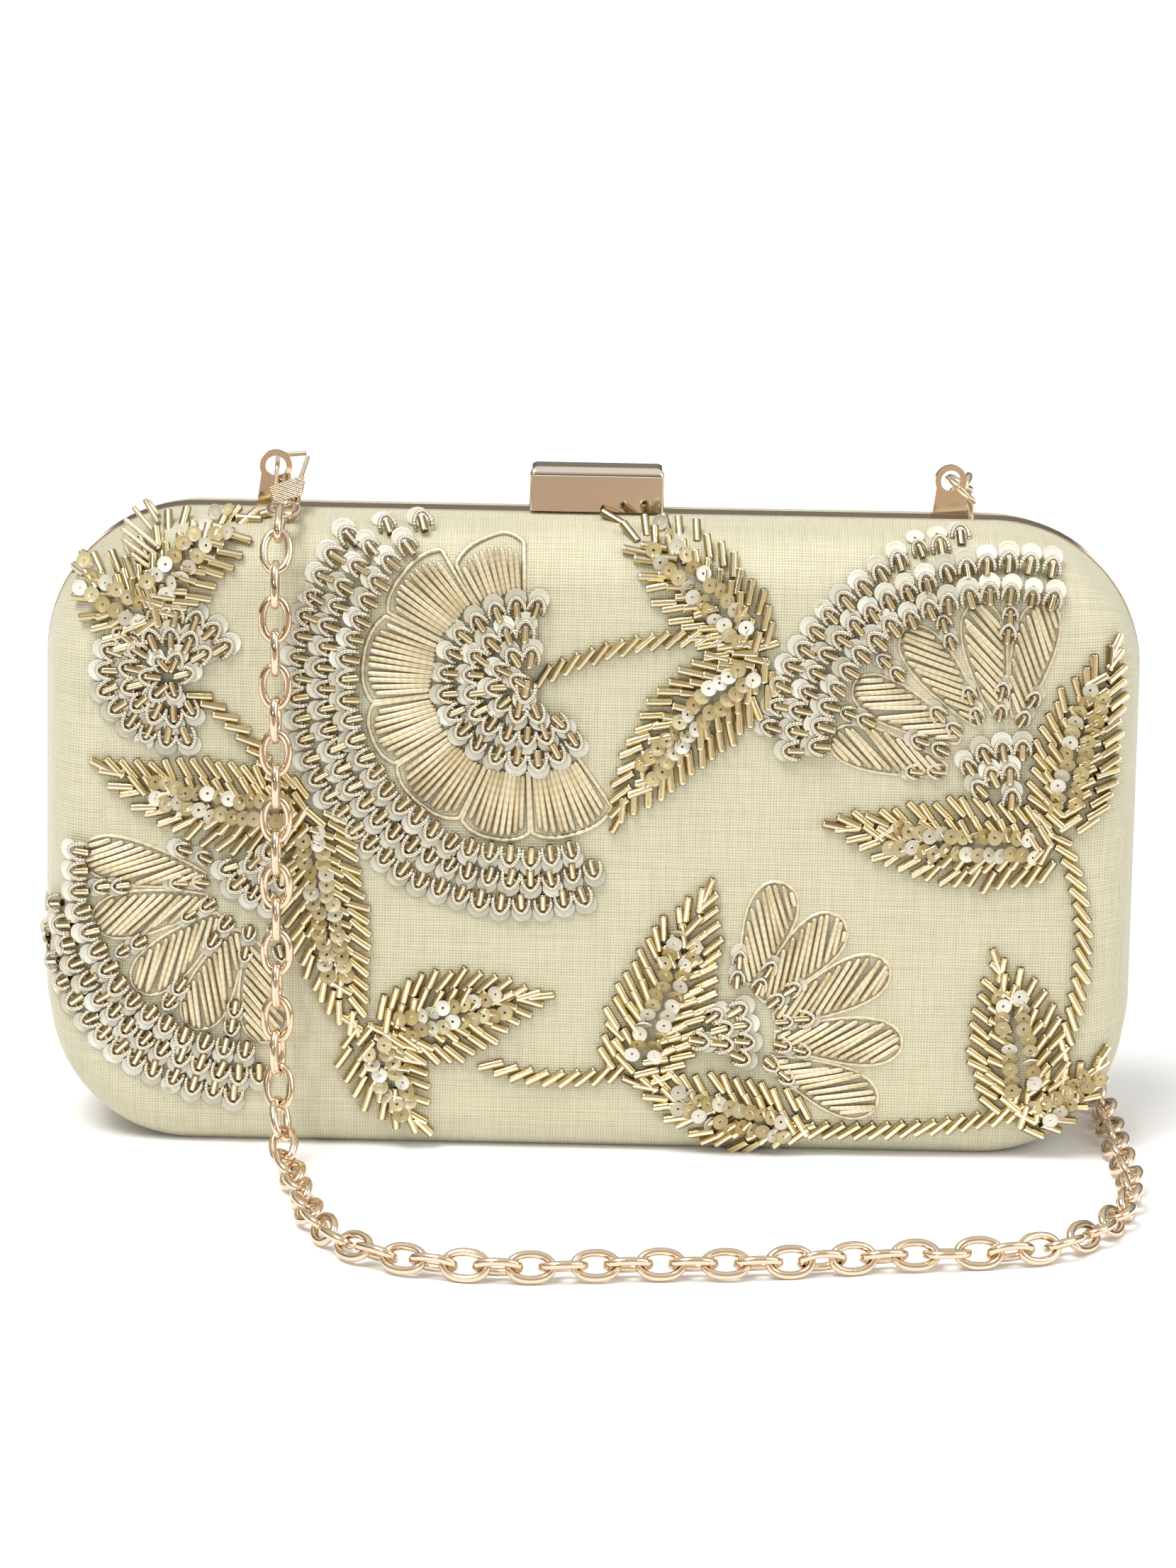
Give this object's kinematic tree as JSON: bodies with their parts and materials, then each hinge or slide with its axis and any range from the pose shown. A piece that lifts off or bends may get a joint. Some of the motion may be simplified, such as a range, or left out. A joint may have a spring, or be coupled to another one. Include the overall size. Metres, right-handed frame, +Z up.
{
  "type": "evening bag",
  "caption": "Hard box clutch: two fabric covered half shells in metal frames, bottom hinge, sprung clasp bar, lugs and a link chain.",
  "frame": {"origin": "middle of the base, on the plane where the two half frames meet, at the height the bag stands on", "axes": "+X along the width, to the right seen from the embroidered front; +Y to the back; +Z up"},
  "size_m": [0.2016, 0.1378, 0.1262],
  "materials": {
    "frame_metal": "polished pale gold plate",
    "clasp_metal": "mirror polished pale rose gold plate",
    "fitting_metal": "polished pale gold plate",
    "chain_metal": "polished pale rose gold links",
    "steel_small": "plain drawn steel",
    "silk_cover": "straw gold slubbed plain weave silk",
    "shell_board": "moulded fibre board",
    "padding_foam": "thin wadding",
    "lining_cloth": "satin lining",
    "bullion_work": "bullion wire, sequins and bugle beads sewn on",
    "bugle_work": "silver lined glass bugle beads and sequins sewn on"
  },
  "bodies": {
    "front_half": {"bud_cluster": "bullion_work", "chain_front": "chain_metal", "clasp_base": "fitting_metal", "clasp_spring": "steel_small", "clip_body": "fitting_metal", "clip_hook": "fitting_metal", "flower_left": "bullion_work", "flower_low": "bullion_work", "flower_main": "bullion_work", "flower_right": "bullion_work", "front_cover": "silk_cover", "front_frame": "frame_metal", "front_hinge_rivets": "steel_small", "front_lining": "lining_cloth", "front_padding": "padding_foam", "front_shell": "shell_board", "hinge_leaf_front_left": "fitting_metal", "hinge_leaf_front_right": "fitting_metal", "hinge_pin_left": "steel_small", "hinge_pin_right": "steel_small", "leaf_1": "bugle_work", "leaf_10": "bugle_work", "leaf_11": "bugle_work", "leaf_12": "bugle_work", "leaf_13": "bugle_work", "leaf_2": "bugle_work", "leaf_3": "bugle_work", "leaf_4": "bugle_work", "leaf_5": "bugle_work", "leaf_6": "bugle_work", "leaf_7": "bugle_work", "leaf_8": "bugle_work", "leaf_9": "bugle_work", "lug_left": "fitting_metal", "stem_1": "bugle_work", "stem_2": "bugle_work", "stem_3": "bugle_work", "stem_4": "bugle_work", "stem_5": "bugle_work"},
    "back_half": {"back_cover": "silk_cover", "back_frame": "frame_metal", "back_hinge_rivets": "steel_small", "back_lining": "lining_cloth", "back_padding": "padding_foam", "back_shell": "shell_board", "hinge_leaf_back_left": "fitting_metal", "hinge_leaf_back_right": "fitting_metal", "slip_pocket": "lining_cloth", "clasp_strike": "fitting_metal", "lug_right": "fitting_metal", "jump_ring": "fitting_metal", "chain_back": "chain_metal"},
    "clasp_lever": {"clasp_bar": "clasp_metal", "clasp_pin": "steel_small"},
    "clip_latch": {"clip_gate": "fitting_metal"}
  },
  "joints": [
    {"name": "bag_opening", "type": "hinge", "parent": "front_half", "child": "back_half", "pos_m": [0, 0, 0.0022], "axis": [-1, 0, 0], "range_deg": [0, 70], "deforming": ["chain_back"]},
    {"name": "clasp_press", "type": "hinge", "parent": "front_half", "child": "clasp_lever", "pos_m": [0, -0.0012, 0.119], "axis": [1, 0, 0], "range_deg": [0, 12], "stiffness_Nm_per_rad": 0.05, "springref_deg": -11.46},
    {"name": "clip_gate_press", "type": "hinge", "parent": "front_half", "child": "clip_latch", "pos_m": [-0.0543, -0.00532, 0.12036], "axis": [0, -0.6, 0.8], "range_deg": [0, 15], "stiffness_Nm_per_rad": 0.01, "springref_deg": -11.46}
  ]
}
